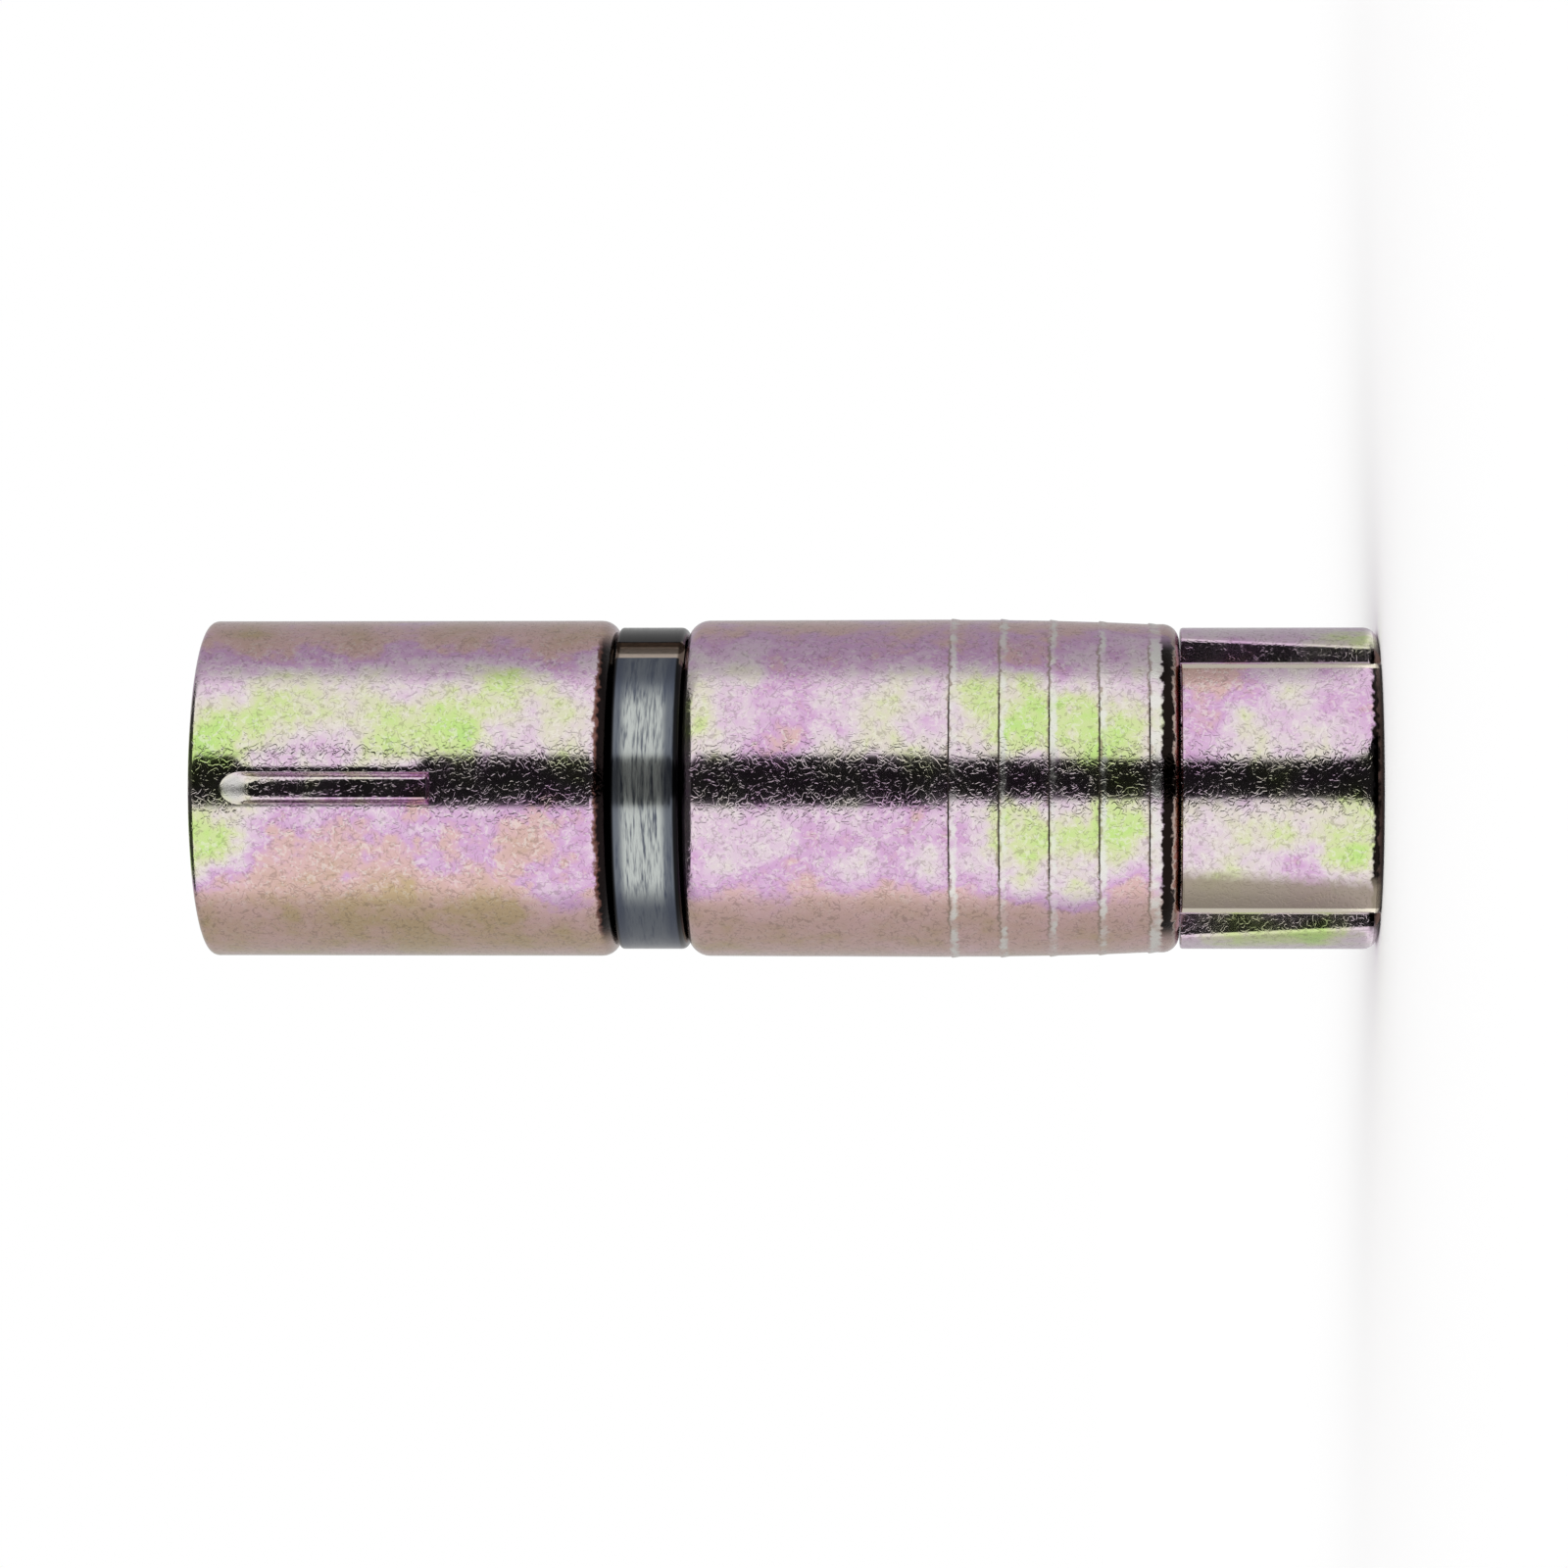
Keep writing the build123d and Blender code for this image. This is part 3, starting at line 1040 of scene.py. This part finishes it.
sunk = remap(tree, from_axis, 7.50 * MM, 7.54 * MM, 1.0, 0.0)
# Painted shade, almost black, on the rim past the recess.
shade_past_recess = times(tree, turned_band(64.4, 140), remap(tree, angle, radians(92), radians(138), 1.0, 0.0))
shade_past_recess = minus(tree, shade_past_recess, sunk, clamp=True)
shade = mix_colour(tree, shade_past_recess, shade, linear(20, 18, 20))
# Painted shade, brown, over the sunk recess.
shade = mix_colour(tree, times(tree, turned_band(50, 66), sunk), shade, linear(120, 102, 90))
deep = remap(tree, from_axis, 7.26 * MM, 7.30 * MM, 1.0, 0.0)
# Painted highlight, pale beige, on the recess floor.
recess_highlight = times(tree, turned_band(50, 65.4, 0.3), times(tree, edges, deep))
shade = mix_colour(tree, recess_highlight, shade, linear(206, 190, 176))

# %% [markdown]
# The streaks are fine scratches, so they also drive a weak bump and a little roughness. The moulding reflects
# almost like metal in the photograph, and a high metallic share gives that.

# %% Link the moulding
shader = tree.nodes["Principled BSDF"]
tree.links.new(shade, shader.inputs["Base Color"])
bump = add(tree, "ShaderNodeBump", Strength=0.2, Distance=0.00001, Height=streaks)
tree.links.new(bump.outputs[0], shader.inputs["Normal"])
tree.links.new(remap(tree, streaks, 0.3, 0.7, 0.1, 0.2), shader.inputs["Roughness"])
shader.inputs["Metallic"].default_value = 0.85
print(dark.name, "nodes:", len(tree.nodes))

# %% [markdown]
# ## Seat the pieces on the frame
#
# Each piece stands for its solid, rides on that solid's body and takes its finish. It also stores where its
# points stand at rest, which the materials read. The shell and the ring can't follow the tightening as rigid
# pieces; here each gets a mesh of its own.

# %% Finish and ride, and give the shell and the ring meshes of their own
SEATS = [
    (sleeve, sleeve_film, "distance_sleeve", "spacer", "zinc_steel"),
    (ring, dark, "compression_ring", "shell", "ring_plastic"),
    (shell, shell_film, "expansion_sleeve", "shell", "zinc_steel"),
    (nut, nut_film, "cone_nut", "cone", "zinc_steel"),
]
for piece, finish, node, body, slot in SEATS:
    piece.data.materials.clear()
    piece.data.materials.append(finish)
    places = piece.data.attributes.new("rest_place", "FLOAT_VECTOR", "POINT")
    places.data.foreach_set("vector", [c for vertex in piece.data.vertices for c in vertex.co])
    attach(piece, body)
    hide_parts(node)
    print(piece.name, "triangles:", sum(len(p.vertices) - 2 for p in piece.data.polygons))
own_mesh(shell)
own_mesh(ring)

# %% [markdown]
# ## Studio
#
# A shiny round piece shows the room that it stands in, so the room is part of the look. The floor is plain and
# pale and far wider than the picture, so that its edge never shows.

# %% Floor
FLOOR = 6


def plain_surface(name, colour, glow=0.0):
    """A matt surface of one colour, or one that glows in it."""
    material = bpy.data.materials.new(name)
    material.use_nodes = True
    shader = material.node_tree.nodes["Principled BSDF"]
    shader.inputs["Base Color"].default_value = (0, 0, 0, 1) if glow else linear(*colour)
    shader.inputs["Roughness"].default_value = 0.9
    shader.inputs["Specular IOR Level"].default_value = 0.0
    if glow:
        shader.inputs["Emission Color"].default_value = linear(*colour)
        shader.inputs["Emission Strength"].default_value = glow
    return material


start_fresh()
bpy.ops.mesh.primitive_plane_add(size=FLOOR, location=(0, 0, 0))
floor = bpy.context.object
floor.name = "floor"
floor.data.materials.append(plain_surface("pale_floor", (250, 250, 250)))

# %% [markdown]
# The photograph seems to come from a white tent with a dark gap for the camera, which would give the black stripe
# along the anchor, and with quieter sides. Here that is a striped drum round the anchor. Its shade depends on the
# direction alone, so it is a colour ramp over the angle round the axis. The dark stripe's middle stands a little
# to one side of the camera, as in the photograph.

# %% Stripes of the drum
SHADES_BEFORE = [(-180, 0.56), (-140, 0.58), (-104, 0.60), (-86, 0.70), (-72, 1.0)]
SHADES_AFTER = [(74, 0.96), (86, 0.58), (100, 0.49), (140, 0.46), (180, 0.56)]
DARK = 0.01


def striped_card(name, dark_from, dark_to):
    """A glow whose shade depends on the angle round the axis, in degrees from the front towards +X."""
    material = bpy.data.materials.new(name)
    material.use_nodes = True
    tree = material.node_tree
    x, y, z = split(tree, add(tree, "ShaderNodeTexCoord").outputs["Object"])
    angle = math_node(tree, "ARCTAN2", x, times(tree, y, -1.0))
    gap = [(dark_from - 1, 1.0), (dark_from + 1, DARK), (dark_to - 1, DARK), (dark_to + 1, 1.0)]
    stops = [((at + 180) / 360, (s, s, s, 1)) for at, s in SHADES_BEFORE + gap + SHADES_AFTER]
    shade = colour_ramp(tree, math_node(tree, "MULTIPLY_ADD", angle, 1 / (2 * pi), 0.5), stops)
    glow = add(tree, "ShaderNodeEmission", Color=shade)
    tree.links.new(glow.outputs[0], tree.nodes["Material Output"].inputs["Surface"])
    return material


# %% [markdown]
# The drum is a wall all round, a disc just above the floor with the same stripes, and a dark lid. The stripe on
# the ground is narrower, because the nut's foot sees it from nearby. Only reflections see the drum: it casts no
# shadow, lights nothing and doesn't show in the picture.

# %% Drum that only reflections see
DRUM_RADIUS = 0.6
DRUM_HEIGHT = 0.8
DRUM_SIDES = 96
CLEAR_OF_FLOOR = 0.0003


def drum_disc(name, height, material):
    """A disc that closes the drum at this height."""
    bpy.ops.mesh.primitive_circle_add(
        vertices=DRUM_SIDES, radius=DRUM_RADIUS, fill_type="NGON", location=(0, 0, height),
    )
    disc = bpy.context.object
    disc.name = name
    disc.data.materials.append(material)
    return disc


start_fresh()
bpy.ops.mesh.primitive_cylinder_add(
    vertices=DRUM_SIDES, radius=DRUM_RADIUS, depth=DRUM_HEIGHT, end_fill_type="NOTHING",
    location=(0, 0, DRUM_HEIGHT / 2 + CLEAR_OF_FLOOR),
)
wall = bpy.context.object
wall.name = "drum_wall"
bpy.ops.object.transform_apply(location=True)
wall.data.materials.append(striped_card("striped_wall", -12.5, 22.5))
ground = drum_disc("drum_ground", CLEAR_OF_FLOOR, striped_card("striped_ground", -7.5, 19.5))
lid = drum_disc("drum_lid", DRUM_HEIGHT, plain_surface("dark_lid", (60, 60, 60), 1.0))
for card in (wall, ground, lid):
    card.visible_camera = card.visible_diffuse = card.visible_shadow = False

# %% [markdown]
# The world is the white tent. Seen directly or in a reflection it is plain white, and it lights the floor a
# little less, so that the floor doesn't burn out. The Standard view keeps the colours as they are written.

# %% World
scene = bpy.context.scene
scene.view_settings.view_transform = "Standard"
world = bpy.data.worlds.new("white_tent")
world.use_nodes = True
tree = world.node_tree
sky = tree.nodes["Background"]
sky.inputs["Color"].default_value = (1, 1, 1, 1)
path = add(tree, "ShaderNodeLightPath").outputs
mirrored = math_node(tree, "MAXIMUM", path["Is Glossy Ray"], path["Is Transmission Ray"])
seen = math_node(tree, "MAXIMUM", path["Is Camera Ray"], mirrored)
tree.links.new(math_node(tree, "MULTIPLY_ADD", seen, 0.1, 0.9), sky.inputs["Strength"])
scene.world = world

# %% [markdown]
# Two wide, weak lamps from above the camera's left and right soften the shadow under the anchor. Reflections
# don't see them, because the drum makes all of those.

# %% Lamps
LAMP_POWER = 0.32
LAMP_WIDTH = radians(45)

for name, place in (("soft_sun_left", (-0.6, -0.5, 0.9)), ("soft_sun_right", (0.6, -0.5, 0.9))):
    lamp = bpy.data.lights.new(name, "SUN")
    lamp.angle = LAMP_WIDTH
    lamp.energy = LAMP_POWER
    stand = bpy.data.objects.new(name, lamp)
    scene.collection.objects.link(stand)
    stand.location = place
    stand.rotation_euler = (-Vector(place)).to_track_quat("-Z", "Y").to_euler()
    stand.visible_glossy = False

# %% [markdown]
# ## Camera
#
# The camera looks along +Y at the sleeve's groove. It is turned on its side, so that the axis runs across the
# picture with the mouth at the left, and it stands a little nearer to the nut's end.

# %% Camera
eye = Vector((0, -0.2656, 0.0139))
aim = Vector((0.0002, 0, 0.0278))
lens = bpy.data.cameras.new("camera")
lens.lens = 129.6
lens.sensor_width = 36
camera = bpy.data.objects.new("camera", lens)
scene.collection.objects.link(camera)
back = (eye - aim).normalized()
right = Vector((0, 0, -1))
right = (right - right.dot(back) * back).normalized()
up = back.cross(right)
camera.matrix_world = Matrix([(right[i], up[i], back[i], eye[i]) for i in range(3)] + [(0, 0, 0, 1)])
scene.camera = camera
